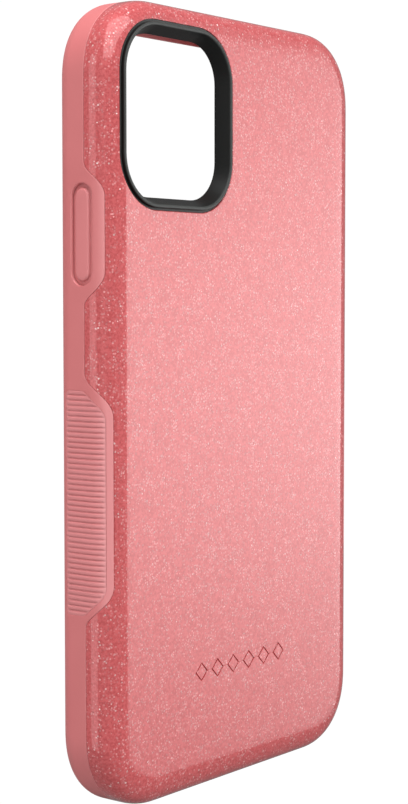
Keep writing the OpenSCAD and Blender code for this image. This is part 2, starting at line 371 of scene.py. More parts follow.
class Build:
    """Collects a mesh's points and faces, in millimetres."""

    def __init__(self):
        self.points = []
        self.faces = []

    def row(self, points):
        """Adds points, and returns their numbers."""
        start = len(self.points)
        self.points.extend(tuple(map(float, p)) for p in points)
        return list(range(start, start + len(points)))

    def strip(self, a, b, closed=True):
        """Quads between two rows of equal length."""
        n = len(a)
        for k in range(n if closed else n - 1):
            j = (k + 1) % n
            quad = [a[k], a[j], b[j], b[k]]
            corners = list(dict.fromkeys(quad))
            if len(corners) > 2:
                self.faces.append(corners)

    def zip(self, a, b):
        """Triangles between two closed rows that needn't have the same number of points."""
        pa = np.array([self.points[k] for k in a])
        pb = np.array([self.points[k] for k in b])
        start = int(np.argmin(np.linalg.norm(pb - pa[0], axis=1)))
        b = b[start:] + b[:start]
        pb = np.roll(pb, -start, axis=0)
        i = j = 0
        while i < len(a) or j < len(b):
            ni, nj = (i + 1) % len(a), (j + 1) % len(b)
            step_a = np.linalg.norm(pa[ni] - pb[j % len(b)]) if i < len(a) else math.inf
            step_b = np.linalg.norm(pb[nj] - pa[i % len(a)]) if j < len(b) else math.inf
            if step_a <= step_b:
                self.faces.append([a[i % len(a)], a[ni], b[j % len(b)]])
                i += 1
            else:
                self.faces.append([a[i % len(a)], b[nj], b[j % len(b)]])
                j += 1

    def fill(self, outer, holes, flat, free=()):
        """Triangles over the region between an outer row and the rows of its holes, through some free
        points if any are given. flat turns a point into the two numbers that it is laid out by."""
        rows = [outer, *holes]
        ids = [k for r in rows for k in r] + list(free)
        at = [Vector(flat(self.points[k])) for k in ids]
        edges = []
        start = 0
        for r in rows:
            edges += [(start + k, start + (k + 1) % len(r)) for k in range(len(r))]
            start += len(r)
        inside_outer = 1
        where, _, triangles, origins, *_ = delaunay_2d_cdt(at, edges, [], inside_outer, SAME_POINT)
        loops = [np.array([flat(self.points[k]) for k in r]) for r in holes]
        for tri in triangles:
            middle = sum((where[k] for k in tri), Vector((0, 0))) / 3
            if not any(inside(middle, loop) for loop in loops):
                self.faces.append([ids[origins[k][0]] for k in tri])

    def object(self, name, sharp=42):
        """Makes the object, with outward faces, smooth shading and edges sharper than an angle kept."""
        mesh = bpy.data.meshes.new(name)
        mesh.from_pydata([tuple(c * MM for c in p) for p in self.points], [], self.faces)
        bm = bmesh.new()
        bm.from_mesh(mesh)
        loose = [v for v in bm.verts if not v.link_faces]
        bmesh.ops.delete(bm, geom=loose, context="VERTS")
        bmesh.ops.recalc_face_normals(bm, faces=bm.faces)
        for face in bm.faces:
            face.smooth = True
        for edge in bm.edges:
            if len(edge.link_faces) == 2:
                edge.smooth = edge.calc_face_angle(0.0) < math.radians(sharp)
        open_edges = sum(1 for e in bm.edges if len(e.link_faces) != 2)
        if open_edges:
            print(f"{name}: {open_edges} edges aren't shared by two faces")
        bm.to_mesh(mesh)
        bm.free()
        obj = bpy.data.objects.new(name, mesh)
        bpy.context.scene.collection.objects.link(obj)
        weight = obj.modifiers.new("weighted normals", "WEIGHTED_NORMAL")
        weight.keep_sharp = True
        return obj


def inside(point, loop):
    """True if a point is inside a closed loop of points."""
    x, y = point
    a, b = loop, np.roll(loop, -1, axis=0)
    spans = (a[:, 1] > y) != (b[:, 1] > y)
    rise = np.where(spans, b[:, 1] - a[:, 1], 1.0)
    cross = a[:, 0] + (y - a[:, 1]) / rise * (b[:, 0] - a[:, 0])
    return bool(np.count_nonzero(spans & (x < cross)) % 2)


def rounded_loop(half_w, half_h, radius, steps):
    """A rounded rectangle about the origin, with its corner arcs given by a number of steps."""
    points = []
    for k, (sx, sy) in enumerate(((1, 1), (-1, 1), (-1, -1), (1, -1))):
        for j in range(steps + 1):
            a = math.pi / 2 * (k + j / steps)
            points.append((sx * (half_w - radius) + radius * math.cos(a),
                           sy * (half_h - radius) + radius * math.sin(a)))
    return np.array(points)


def ray_hits(origins, ends, loop):
    """Where the rays from inside a loop towards the given ends cross it, and their directions."""
    slack = 1e-9
    hits, ways = [], []
    a, b = loop, np.roll(loop, -1, axis=0)
    edge = b - a
    for origin, end in zip(origins, ends):
        way = (end - origin) / np.linalg.norm(end - origin)
        cross = way[0] * edge[:, 1] - way[1] * edge[:, 0]
        cross = np.where(np.abs(cross) < TINY, TINY, cross)
        gap = a - origin
        t = (gap[:, 0] * edge[:, 1] - gap[:, 1] * edge[:, 0]) / cross
        u = (gap[:, 0] * way[1] - gap[:, 1] * way[0]) / cross
        good = (t > 0) & (u >= -slack) & (u <= 1 + slack)
        hits.append(origin + way * t[good].min())
        ways.append(way)
    return np.array(hits), np.array(ways)


def loop_distance(point, loop):
    """The distance of a point from a closed loop."""
    a, b = loop, np.roll(loop, -1, axis=0)
    edge = b - a
    t = np.clip(((point - a) * edge).sum(axis=1) / np.maximum((edge * edge).sum(axis=1), TINY), 0, 1)
    return float(np.linalg.norm(a + edge * t[:, None] - point, axis=1).min())


class Opening:
    """A shape cut into a straight side: its loop, in place along the side and travel, the half sizes of
    the box its rays start from, and rings given as (distance in from the loop, depth below the skin)."""

    def __init__(self, side, along, travel, loop, core, rings, through):
        self.side = side
        self.centre = np.array([along, travel])
        self.loop = np.array(loop) + self.centre
        self.core = np.array(core)
        self.rings = rings
        self.through = through

    def ring_rows(self, build, boundary):
        """Adds the rings inside a boundary, given as (along, travel) points. Returns their rows, and where
        the last ring's points are along the side and in travel."""
        ends = np.array(boundary)
        origins = self.centre + np.clip(ends - self.centre, -self.core, self.core)
        hits, ways = ray_hits(origins, ends, self.loop)
        rows = []
        for step, depth in self.rings:
            at = hits - ways * step
            rows.append(build.row([on_side(self.side, p[0], p[1], depth) for p in at]))
        return rows, at


def pill_loop(half_length, radius):
    """A slot shape about the origin, with a hair of straight between the arcs of its ends."""
    straight = 1e-4
    arc_steps = 16
    return rounded_loop(half_length, radius, radius - straight, arc_steps)


def pad_loop():
    """The outline of a grip pad, in height and travel, about the middle of the pad."""
    middle = np.array([(PAD_LOW + PAD_HIGH) / 2, (PAD_BACK + PAD_FRONT) / 2])
    points_a_side = 241
    turn = np.linspace(0, math.pi, points_a_side)
    heights = PAD_LOW + (PAD_HIGH - PAD_LOW) * (1 - np.cos(turn)) / 2
    back = [(z, max(pad_back(z), pad_round(z)[0])) for z in heights]
    front = [(z, pad_round(z)[1]) for z in heights[::-1]]
    return np.array(back + front) - middle, middle


def pad_round(z):
    """Travels between which a pad lies at a height, where its corners at the seam and front are round."""
    t = min(z - PAD_LOW, PAD_HIGH - z)
    cut = PAD_CORNER - math.sqrt(max(PAD_CORNER ** 2 - max(PAD_CORNER - t, 0.0) ** 2, 0.0))
    return pad_back(z) + cut, PAD_FRONT - cut


# ---- pieces


STATIONS = make_stations()
OUTLINE = np.array([(station[2], station[3]) for station in STATIONS])


def flat_xz(point):
    """Lays a point out by its place on the back."""
    return point[0], point[2]


def skin_y(x, z):
    """Depth of the outer skin, from the plane of the back, at a point of the back."""
    return float(np.interp(-loop_distance((x, z), OUTLINE), -ARC_INSET, ARC_Y))


def fill_back(build, outer, holes, depth):
    """Fills the inside of a ring of the back, with points that keep the last of the rounding's curve. The
    points keep clear of the first hole."""
    clear = 0.12
    hole = np.array([flat_xz(build.points[k]) for k in holes[0]])
    free = []
    for share in (0.82, 0.66, 0.5, 0.36, 0.22, 0.1, 0.0):
        for station in STATIONS:
            point = place(station, *section_point(SKIN_START * share, depth))
            if not inside(flat_xz(point), hole) and loop_distance(flat_xz(point), hole) > clear:
                free += build.row([point])
    build.fill(outer, holes, flat_xz, free)


def bezel_row(build, inward, y, on_skin=0.0):
    """A row round the camera bezel's outline, brought in by a distance, at a depth from the back. on_skin
    is the share of the back's own curve that the row follows."""
    loop = rounded_loop(BEZEL_W / 2 - inward, BEZEL_H / 2 - inward, BEZEL_R - inward, BEZEL_ARC_STEPS)
    points = []
    for p in loop:
        x, z = BEZEL_X + p[0], BEZEL_Z + p[1]
        points.append((x, BACK_Y + y + on_skin * skin_y(x, z), z))
    return build.row(points)


def quarter_turn(count, point):
    """The points of a fillet: point(angle) from nought to a right angle, in a number of steps."""
    return [point(math.pi / 2 * k / count) for k in range(count + 1)]


def sink_lozenge(build, x):
    """Adds a lozenge drawn by a sunk line on the back, and returns its outer row."""
    side_ease = 0.03
    floor_ease = 0.07
    ease_y = 0.02
    arc_steps = 5
    line = [(0.0, 0.0), (side_ease, ease_y), (floor_ease, LOZENGE_D),
            (LOZENGE_LINE - floor_ease, LOZENGE_D), (LOZENGE_LINE - side_ease, ease_y), (LOZENGE_LINE, 0.0)]
    rows = []
    for inward, y in line:
        half = LOZENGE_SIDE / 2 - inward
        loop = rounded_loop(half, half, max(LOZENGE_CORNER - inward, 0.04), arc_steps)
        turned = [((p[0] - p[1]) / math.sqrt(2), (p[0] + p[1]) / math.sqrt(2)) for p in loop]
        rows.append(build.row([(x + p[0], BACK_Y + y, LOZENGE_Z + p[1]) for p in turned]))
    for a, b in zip(rows, rows[1:]):
        build.strip(a, b)
    build.faces.append(rows[-1])
    return rows[0]


def make_shell():
    """The hard shell: its skin, an eased edge, an inner face, the bezel's stepped hole and the lozenges."""
    build = Build()
    rim = SHELL_RIM
    skin_steps = 30
    inner_steps = 10
    before_rim = 0.06
    profiles = []
    for station in STATIONS:
        edge = seam_travel(station)
        start = edge - rim
        travels = [(SKIN_START + (start - SKIN_START) * k / skin_steps, 0.0) for k in range(skin_steps)]
        travels += [(start - before_rim, 0.0)]
        travels += quarter_turn(4, lambda a: (start + rim * math.sin(a), rim * (1 - math.cos(a))))
        travels += quarter_turn(2, lambda a: (edge - rim * (1 - math.cos(a)),
                                              SHELL_T - rim * (1 - math.sin(a))))
        travels += [(start + (SKIN_START - start) * k / inner_steps, SHELL_T)
                    for k in range(1, inner_steps + 1)]
        profiles.append([place(station, *section_point(*t)) for t in travels])
    grid = [build.row(p) for p in profiles]
    for a, b in zip(grid, grid[1:] + grid[:1]):
        build.strip(a, b, closed=False)
    outer = [r[0] for r in grid]
    inner = [r[-1] for r in grid]

    hole = [bezel_row(build, HOLE_EASE * (math.sin(a) - 1) - BEZEL_GAP, HOLE_EASE * (1 - math.cos(a)), 1.0)
            for a in (0.0, 0.4, 0.8, 1.2, math.pi / 2)]
    hole += [bezel_row(build, -BEZEL_GAP, HOLE_STEP_Y), bezel_row(build, HOLE_IN, HOLE_STEP_Y),
             bezel_row(build, HOLE_IN, SHELL_T)]
    for a, b in zip(hole, hole[1:]):
        build.strip(a, b)
    first_x = -(LOZENGES - 1) / 2 * LOZENGE_PITCH
    lozenges = [sink_lozenge(build, first_x + k * LOZENGE_PITCH) for k in range(LOZENGES)]
    fill_back(build, outer, [hole[0], *lozenges], 0.0)
    fill_back(build, inner, [hole[-1]], SHELL_T)
    return build.object("outer_shell_skin")


def make_bezel():
    """The bezel: a narrow proud face, a chamfer and a sloping wall down to its window, and a tube below."""
    build = Build()
    profile = [(0.0, FLANGE_Y), (0.0, LEDGE_Y), (BEAD_START, LEDGE_Y)]
    profile += [(BEAD_START + BEAD_ROUND * (1 - math.cos(a)), -PROUD + BEAD_ROUND * (1 - math.sin(a)))
                for a in (0.0, 0.3, 0.6, 0.9, 1.2, math.pi / 2)]
    profile += [(BEAD_END - BEAD_FALL * (1 - math.sin(a)), -PROUD + BEAD_DROP * (1 - math.cos(a)))
                for a in (0.0, 0.35, 0.7, 1.05, 1.35)]
    profile += [(BEAD_END + 0.04, -PROUD + BEAD_DROP),
                (BEZEL_IN - 0.03, POCKET - TUBE_EASE), (BEZEL_IN - 0.05, POCKET),
                (FLANGE + TUBE_EASE, POCKET), (FLANGE, POCKET - TUBE_EASE), (FLANGE, FLANGE_Y)]
    rows = [bezel_row(build, inward, y) for inward, y in profile]
    for a, b in zip(rows, rows[1:] + rows[:1]):
        build.strip(a, b)
    return build.object("camera_bezel_ring", sharp=50)


def liner_openings():
    """The openings and recesses of the liner's sides, each with its rings from the skin inwards."""
    seat = MOAT_R - SEAT_R
    moat_rings = [(-0.16, 0.0), (-0.1, 0.012), (-0.04, 0.05), (-0.01, 0.1), (0.0, 0.16),
                  (0.03, MOAT_D - 0.1), (0.03, MOAT_D), (seat, MOAT_D + SEAT_ROOF), (seat, WALL)]
    port_rings = [(-0.26, 0.03), (-0.1, 0.12), (-0.02, 0.28), (0.0, 0.5), (0.0, WALL - 0.2), (-0.1, WALL)]
    mute_rings = [(-0.45, 0.0), *port_rings]
    pad_rings = [(-0.07, 0.0), (-0.03, 0.01), (0.0, 0.05), (0.0, PAD_RECESS)]
    round_moat = MOAT_R - ISLAND_R

    def pill(side, along, travel, length, radius, rings):
        core = (length / 2 - radius, 0)
        return Opening(side, along, travel, pill_loop(length / 2, radius), core, rings, True)

    made = [
        pill("left", POWER_Z, KEY_TRAVEL, POWER_ISLAND + 2 * round_moat, MOAT_R, moat_rings),
        pill("right", VOLUME_Z, KEY_TRAVEL, VOLUME_ISLANDS + 2 * round_moat, MOAT_R, moat_rings),
        pill("right", MUTE_Z, KEY_TRAVEL, MUTE_L, MUTE_R, mute_rings),
    ]
    outline, middle = pad_loop()
    pad_core = (12.0, 1.5)
    made += [Opening(side, *middle, outline, pad_core, pad_rings, False) for side in ("left", "right")]
    port = rounded_loop(PORT_W / 2, PORT_D / 2, PORT_R, 12)
    port_core = (PORT_W / 2 - PORT_R, PORT_D / 2 - PORT_R)
    made.append(Opening("bottom", 0.0, PORT_TRAVEL, port, port_core, port_rings, True))
    made += [pill("bottom", x, PORT_TRAVEL, SPEAKER_L, SPEAKER_R, port_rings)
             for x in (-SPEAKER_X, SPEAKER_X)]
    return made


def clear_block(points, loop, margin):
    """The smallest block of a grid of points, as its first and last rows and columns, whose edge keeps a
    margin from a loop."""
    shape = points.shape[:2]
    flat = points.reshape(-1, 2)
    low, high = loop.min(axis=0) - margin, loop.max(axis=0) + margin
    hit = np.zeros(len(flat), dtype=bool)
    for k in np.nonzero(((flat > low) & (flat < high)).all(axis=1))[0]:
        hit[k] = inside(flat[k], loop) or loop_distance(flat[k], loop) < margin
    rows, columns = (np.nonzero(hit.reshape(shape).any(axis=axis))[0] for axis in (1, 0))
    return rows[0] - 1, rows[-1] + 1, columns[0] - 1, columns[-1] + 1


def block_edge(s0, s1, c0, c1):
    """The grid points round a block, in order."""
    edge = [(s, c0) for s in range(s0, s1)]
    edge += [(s1, c) for c in range(c0, c1)]
    edge += [(s, c1) for s in range(s1, s0, -1)]
    edge += [(s0, c) for c in range(c1, c0, -1)]
    return edge


def make_liner():
    """The rubber liner, with its openings. Its rows run from its face under the shell over the tabs' edges,
    the side, the lip and the pocket's wall to the edge of the floor."""
    build = Build()
    ease = TAB_RIM
    under_steps = 9
    skin_steps = 46
    wall_steps = 22
    skin_margin = 0.12
    wall_margin = 0.1
    wall_top = LIP - 0.12
    wall_foot = POCKET + 0.15
    lip = [(RIM_FLAT_END, CASE_T), (RIM_FLAT_END + 0.17, CASE_T - 0.03),
           (RIM_FLAT_END + 0.28, CASE_T - 0.12), (RIM_FLAT_END + 0.35, CASE_T - 0.3),
           (LIP_REACH - 0.08, LIP + 0.85), (LIP_REACH - 0.01, LIP + 0.6), (LIP_REACH, LIP + 0.2),
           (LIP_REACH - 0.05, LIP + 0.06), (LIP_REACH - 0.2, LIP), (WALL + 0.4, LIP)]
    wall = [(WALL, wall_top + (wall_foot - wall_top) * k / wall_steps) for k in range(wall_steps + 1)]
    floor_edge = [(WALL + 0.05, POCKET + 0.05), (WALL + 0.2, POCKET), (WALL + 0.5, POCKET)]
    profiles = []
    skin_travels = []
    for station in STATIONS:
        edge = seam_travel(station) + GAP
        start = edge + ease
        foot = edge + FOOT_GAP
        under = [(SKIN_START + (foot - SKIN_START) * k / under_steps, LINER_IN)
                 for k in range(under_steps + 1)]
        rise = [(foot, LINER_IN * 0.6), (edge, ease)]
        rise += [(edge + ease * (1 - math.cos(a)), ease * (1 - math.sin(a)))
                 for a in (math.pi / 8, math.pi / 4, 3 * math.pi / 8)]
        skin = [start + (FRONT_FLAT - start) * k / skin_steps for k in range(skin_steps + 1)]
        skin_travels.append(skin)
        points = [section_point(*t) for t in under + rise + [(t, 0.0) for t in skin]]
        profiles.append([place(station, *p) for p in points + lip + wall + floor_edge])
    grid = [build.row(p) for p in profiles]
    skin_at = len(under) + len(rise)
    wall_at = skin_at + len(skin) + len(lip)

    def skin_place(s, c):
        return np.array([STATIONS[s][1], skin_travels[s][c - skin_at]])

    def wall_place(s, c):
        return np.array([STATIONS[s][1], side_travel(wall[c - wall_at][1])])

    removed = set()
    seams = []

    def cut(hole, where, first, columns, margin):
        """Takes the block of faces round an opening out of the grid. Returns the block's edge."""
        side = [k for k, station in enumerate(STATIONS) if station[0] == hole.side]
        points = np.array([[where(s, first + c) for c in range(columns)] for s in side])
        s0, s1, c0, c1 = clear_block(points, hole.loop, margin)
        s0, s1, c0, c1 = side[s0], side[s1], first + c0, first + c1
        removed.update((s, c) for s in range(s0, s1) for c in range(c0, c1))
        return block_edge(s0, s1, c0, c1)

    for hole in liner_openings():
        edge = cut(hole, skin_place, skin_at, skin_steps + 1, skin_margin - hole.rings[0][0])
        mouth = [grid[s][c] for s, c in edge]
        rows, last = hole.ring_rows(build, [skin_place(s, c) for s, c in edge])
        for a, b in zip([mouth] + rows, rows):
            build.strip(a, b)
        if hole.through:
            margin = wall_margin - min(hole.rings[-1][0], 0.0)
            edge = cut(hole, wall_place, wall_at, wall_steps + 1, margin)
            seams.append((rows[-1], [grid[s][c] for s, c in reversed(edge)]))
        else:
            fill_ring(build, rows[-1], last)
    count = len(STATIONS)
    for s in range(count):
        a, b = grid[s], grid[(s + 1) % count]
        for c in range(len(a) - 1):
            if (s, c) not in removed:
                build.faces.append([a[c], b[c], b[c + 1], a[c + 1]])
    for a, b in seams:
        build.zip(a, b)
    back, floor = [r[0] for r in grid], [r[-1] for r in grid]
    hole_back = bezel_row(build, LINER_HOLE_IN, LINER_IN)
    hole_floor = bezel_row(build, LINER_HOLE_IN, POCKET)
    build.strip(hole_back, hole_floor)
    fill_back(build, back, [hole_back], LINER_IN)
    build.fill(floor, [hole_floor], flat_xz)
    return build.object("inner_liner_body")


def fill_ring(build, row, where):
    """Closes a ring with triangles, laid out by two numbers given for each of its points."""
    at = {build.points[k]: w for k, w in zip(row, where)}
    build.fill(row, [], lambda p: at[p])


def groove_depth(z):
    """How deep a groove of the grip is at a height, away from the pad's sides."""
    first = (PAD_LOW + PAD_HIGH - (GROOVES - 1) * GROOVE_PITCH) / 2
    phase = (z - first) / GROOVE_PITCH
    if not -0.5 < phase < GROOVES - 0.5:
        return 0.0
    near = abs(phase - round(phase)) * GROOVE_PITCH
    return GROOVE_D * math.exp(-((near / GROOVE_HALF_W) ** 2))


def rim_depth(from_edge, width):
    """How far a pad's face is eased down at a distance from its edge."""
    return PAD_RIM_D * float(1 - smooth(from_edge / width)) ** 2


def make_grip(side, name):
    """A ribbed pad: rounded ridges between narrow grooves that run out before the pad's edge."""
    build = Build()
    per_groove = 8
    columns = 30
    side_rim = 0.3
    end_rim = 0.35
    near_end = np.array([0.02, 0.03, 0.05, 0.08, 0.12])
    field_end = 0.15
    heights = np.linspace(PAD_LOW + field_end, PAD_HIGH - field_end, GROOVES * per_groove + 1)
    heights = np.concatenate((PAD_LOW + near_end, heights, (PAD_HIGH - near_end)[::-1]))
    grid = []
    for z in heights:
        back, front = pad_round(z)
        back += PAD_GAP
        front -= PAD_GAP
        groove = groove_depth(z)
        end_ease = rim_depth(min(z - PAD_LOW, PAD_HIGH - z), end_rim)
        row = []
        for c in range(columns + 1):
            travel = back + (front - back) * c / columns
            from_side = min(travel - back, front - travel)
            run_out = float(smooth((from_side - GROOVE_STOP) / GROOVE_RUN_OUT))
            ease = max(rim_depth(from_side, side_rim), end_ease)
            row.append((z, travel, groove * run_out + ease - PAD_PROUD))
        grid.append(row)
    rows = [build.row([on_side(side, *p) for p in row]) for row in grid]
    for a, b in zip(rows, rows[1:]):
        build.strip(a, b, closed=False)
    edge = block_edge(0, len(grid) - 1, 0, columns)
    top = [rows[s][c] for s, c in edge]
    under = build.row([on_side(side, grid[s][c][0], grid[s][c][1], PAD_T) for s, c in edge])
    build.strip(top, under)
    fill_ring(build, under, [grid[s][c][:2] for s, c in edge])
    return build.object(name, sharp=60)


def plate_loop(low, high, half, low_corner, high_corner):
    """The outline of a key's plate, from a low to a high end, with a corner radius for each end."""
    points = []
    for k, (sx, sy) in enumerate(((1, 1), (-1, 1), (-1, -1), (1, -1))):
        radius = high_corner if sx > 0 else low_corner
        middle = high - radius if sx > 0 else low + radius
        for a in np.linspace(math.pi / 2 * k, math.pi / 2 * (k + 1), 13):
            points.append((middle + radius * math.cos(a), sy * (half - radius) + radius * math.sin(a)))
    return points


def make_key(side, name, along, island_length, low, high):
    """A key: a crowned island that stands on a plate, which makes the floor of the moat, and a pusher
    behind it. low and high are the ends of the plate and the radius of its corners there."""
    outwards = 1 if side == "right" else -1
    crown = ISLAND_CROWN
    middle_r = 0.12
    rise = 0.012
    edge_dip = 0.02

    def at(p, depth, scale=(1.0, 1.0)):
        """A point of the key, by its place along and across from the key's middle and its depth."""
        return on_side(side, along + p[0] * scale[0], KEY_TRAVEL + p[1] * scale[1], depth)

    def seated(p, depth):
        """A point of the plate, which keeps clear of its seat when the key is pressed."""
        x, y, z = at(p, depth + PRESS)
        return x + outwards * PRESS, y, z

    build = Build()
    profile = [(1.15, 0.0), (0.85, 0.005), (0.6, 0.015)]
    profile += [(crown * (1 - math.sin(a)), crown * (1 - math.cos(a)) + edge_dip)
                for a in (0.2, 0.5, 0.8, 1.1, 1.4)]
    profile += [(0.0, crown + edge_dip), (-0.02, MOAT_D - 0.03), (-0.08, MOAT_D + 0.06), (-0.16, PLATE_D)]
    rows = []
    for inward, depth in profile:
        loop = pill_loop(island_length / 2 - inward, ISLAND_R - inward)
        rows.append(build.row([at(p, depth) for p in loop]))
    for a, b in zip(rows, rows[1:]):
        build.strip(a, b)
    centre = pill_loop(island_length / 2 - ISLAND_R + middle_r, middle_r)
    middle = build.row([at(p, -rise) for p in centre])
    build.strip(middle, rows[0])
    build.faces.append(middle)

    outline = plate_loop(low[0], high[0], SEAT_R - SEAT_GAP, low[1], high[1])
    face = build.row([seated(p, PLATE_D) for p in outline])
    back = build.row([seated(p, PLATE_D + PLATE_T) for p in outline])
    build.fill(face, [rows[-1]], lambda p: (p[2], p[1]))
    build.strip(face, back)
    push = pill_loop(island_length / 2 - PUSHER_SHORTER, PUSHER_R)
    root = build.row([seated(p, PLATE_D + PLATE_T) for p in push])
    tip = build.row([at(p, WALL - PUSHER_SHY - 0.1) for p in push])
    ends = build.row([at(p, WALL - PUSHER_SHY, (0.96, 0.9)) for p in push])
    build.fill(back, [root], lambda p: (p[2], p[1]))
    build.strip(root, tip)
    build.strip(tip, ends)
    build.faces.append(ends)
    return build.object(name, sharp=50)


# ---- materials


class Nodes:
    """A node tree, with short ways to add and join nodes. A value may be a number, a tuple or a socket."""

    def __init__(self, tree):
        self.tree = tree

    def add(self, kind, **settings):
        node = self.tree.nodes.new(kind)
        for key, value in settings.items():
            setattr(node, key, value)
        return node

    def feed(self, socket, value):
        """Joins a socket to another, or gives it a fixed value."""
        if isinstance(value, bpy.types.NodeSocket):
            self.tree.links.new(value, socket)
        elif socket.type == "RGBA":
            socket.default_value = (*value, 1.0)
        else:
            socket.default_value = value

    def math(self, operation, *values, kind="ShaderNodeMath"):
        node = self.add(kind, operation=operation)
        for socket, value in zip(node.inputs, values):
            self.feed(socket, value)
        return node.outputs[0]

    def part(self, vector, index):
        """One of a vector's three parts."""
        split = self.add("ShaderNodeSeparateXYZ")
        self.feed(split.inputs[0], vector)
        return split.outputs[index]


class Surface(Nodes):
    """The nodes of a new material."""

    def __init__(self, name):
        self.material = bpy.data.materials.new(name)
        self.material.use_nodes = True
        super().__init__(self.material.node_tree)
        self.tree.nodes.clear()
        output = self.add("ShaderNodeOutputMaterial")
        self.shader = self.add("ShaderNodeBsdfPrincipled")
        self.feed(output.inputs["Surface"], self.shader.outputs[0])
        self.place = self.add("ShaderNodeTexCoord").outputs["Object"]
        self.normal = self.add("ShaderNodeNewGeometry").outputs["Normal"]

    def set(self, **values):
        """Sets inputs of the shader, with an underscore for each space in their names."""
        for key, value in values.items():
            self.feed(self.shader.inputs[key.replace("_", " ")], value)

    def noise(self, scale, detail=3.0, roughness=0.5):
        node = self.add("ShaderNodeTexNoise")
        for key, value in zip(("Vector", "Scale", "Detail", "Roughness"),
                              (self.place, scale, detail, roughness)):
            self.feed(node.inputs[key], value)
        return node.outputs["Fac"]

    def ramp(self, value, low, high, to_low=0.0, to_high=1.0):
        """A smooth step from one level to another as a value goes from low to high."""
        node = self.add("ShaderNodeMapRange", interpolation_type="SMOOTHSTEP")
        for key, number in zip(("Value", "From Min", "From Max", "To Min", "To Max"),
                               (value, low, high, to_low, to_high)):
            self.feed(node.inputs[key], number)
        return node.outputs["Result"]

    def mix(self, factor, a, b):
        """A colour between two."""
        node = self.add("ShaderNodeMix", data_type="RGBA")
        for index, value in ((0, factor), (6, a), (7, b)):
            self.feed(node.inputs[index], value)
        return node.outputs[2]

    def mix_vectors(self, factor, a, b):
        node = self.add("ShaderNodeMix", data_type="VECTOR")
        for index, value in ((0, factor), (4, a), (5, b)):
            self.feed(node.inputs[index], value)
        return node.outputs[1]

    def bump(self, height, strength, distance):
        node = self.add("ShaderNodeBump")
        for key, value in (("Strength", strength), ("Distance", distance), ("Height", height)):
            self.feed(node.inputs[key], value)
        return node.outputs["Normal"]


def flakes(n, scale, density, size, tilt):
    """Flat glitter flakes, one to a cell: a mask, a random shade for each, and a tilted normal."""
    cells = n.add("ShaderNodeTexVoronoi")
    n.feed(cells.inputs["Scale"], scale)
    n.feed(cells.inputs["Vector"], n.place)
    colours = n.add("ShaderNodeSeparateColor")
    n.feed(colours.inputs[0], cells.outputs["Color"])
    chosen = n.math("LESS_THAN", colours.outputs[0], density)
    near = n.ramp(cells.outputs["Distance"], size, size * 0.6)
    mask = n.math("MULTIPLY", chosen, near)
    vectors = "ShaderNodeVectorMath"
    centred = n.math("SUBTRACT", cells.outputs["Color"], (0.5, 0.5, 0.5), kind=vectors)
    tilts = n.math("MULTIPLY", centred, (tilt, tilt, tilt), kind=vectors)
    turned = n.math("NORMALIZE", n.math("ADD", n.normal, tilts, kind=vectors), kind=vectors)
    return mask, colours.outputs[1], turned


def shell_material():
    """Glossy coral plastic, full of fine silver glitter under a clear surface."""
    n = Surface("coral_glitter_plastic")
    clumps = n.noise(330.0, 2.0)
    many = n.ramp(clumps, 0.34, 0.66, 0.25, 0.9)
    few = n.ramp(clumps, 0.38, 0.66, 0.05, 0.35)
    fine, fine_shade, fine_normal = flakes(n, 2050.0, many, size=0.52, tilt=0.5)
    broad, broad_shade, broad_normal = flakes(n, 1350.0, few, size=0.3, tilt=0.6)
    depth = n.ramp(n.noise(1900.0, 2.0, 0.6), 0.36, 0.62)
    base = n.mix(depth, (0.495, 0.082, 0.086), (0.60, 0.120, 0.125))
    pale = n.mix(fine_shade, (0.43, 0.07, 0.075), (0.80, 0.37, 0.37))
    with_fine = n.mix(n.math("MULTIPLY", fine, 0.75), base, pale)
    silver = n.mix(broad_shade, (0.74, 0.36, 0.36), (0.98, 0.80, 0.78))
    flake_normal = n.mix_vectors(broad, fine_normal, broad_normal)
    n.set(Base_Color=n.mix(n.math("MULTIPLY", broad, 0.9), with_fine, silver),
          Metallic=n.math("ADD", n.math("MULTIPLY", broad, 0.34), 0.1),
          Normal=n.mix_vectors(n.math("MAXIMUM", fine, broad), n.normal, flake_normal),
          Roughness=0.3, IOR=1.5, Specular_IOR_Level=0.05)
    n.set(Coat_Weight=1.0, Coat_Roughness=0.05, Coat_IOR=1.5)
    return n.material


def rubber_material(name, light, dark, pale):
    """Satin moulded rubber: a matt grain, a faint drift of colour, and a painted sheen that turns it pale
    where it faces the back.
    """
    n = Surface(name)
    drift = n.ramp(n.noise(45.0, 2.0), 0.35, 0.65)
    grain = n.noise(5200.0, 2.0, 0.6)
    # Painted sheen: the colour moves towards pale as the surface turns to face the back
    painted_sheen_share = n.ramp(n.math("MULTIPLY", n.part(n.normal, 1), -1.0), 0.05, 0.75)
    n.set(Base_Color=n.mix(painted_sheen_share, n.mix(drift, dark, light), pale),
          Roughness=n.ramp(grain, 0.3, 0.7, 0.44, 0.54),
          Normal=n.bump(grain, 0.12, 0.00003),
          IOR=1.48, Sheen_Weight=0.06, Sheen_Roughness=0.45)
    return n.material


def bezel_material():
    """Dark grey satin plastic, with painted shade: the walls of the window are coloured darker than the
    face.
    """
    n = Surface("dark_satin_plastic")
    # Painted shade: surfaces that turn away from the back, the window's walls, get the near-black colour
    clear_of_painted_shade = n.ramp(n.math("ABSOLUTE", n.part(n.normal, 1)), 0.3, 0.9)
    grain = n.noise(4200.0, 2.0, 0.6)
    n.set(Base_Color=n.mix(clear_of_painted_shade, (0.006, 0.0066, 0.0063), (0.05, 0.053, 0.051)),
          Roughness=n.ramp(grain, 0.3, 0.7, 0.32, 0.42),
          Normal=n.bump(grain, 0.1, 0.00002),
          IOR=1.33)
    return n.material


def plain_material(name, colour, roughness):
    """One matt colour, with a faint fleck."""
    n = Surface(name)
    fleck = n.ramp(n.noise(900.0, 3.0), 0.3, 0.7)
    n.set(Base_Color=n.mix(fleck, tuple(c * 0.99 for c in colour), colour), Roughness=roughness)
    return n.material


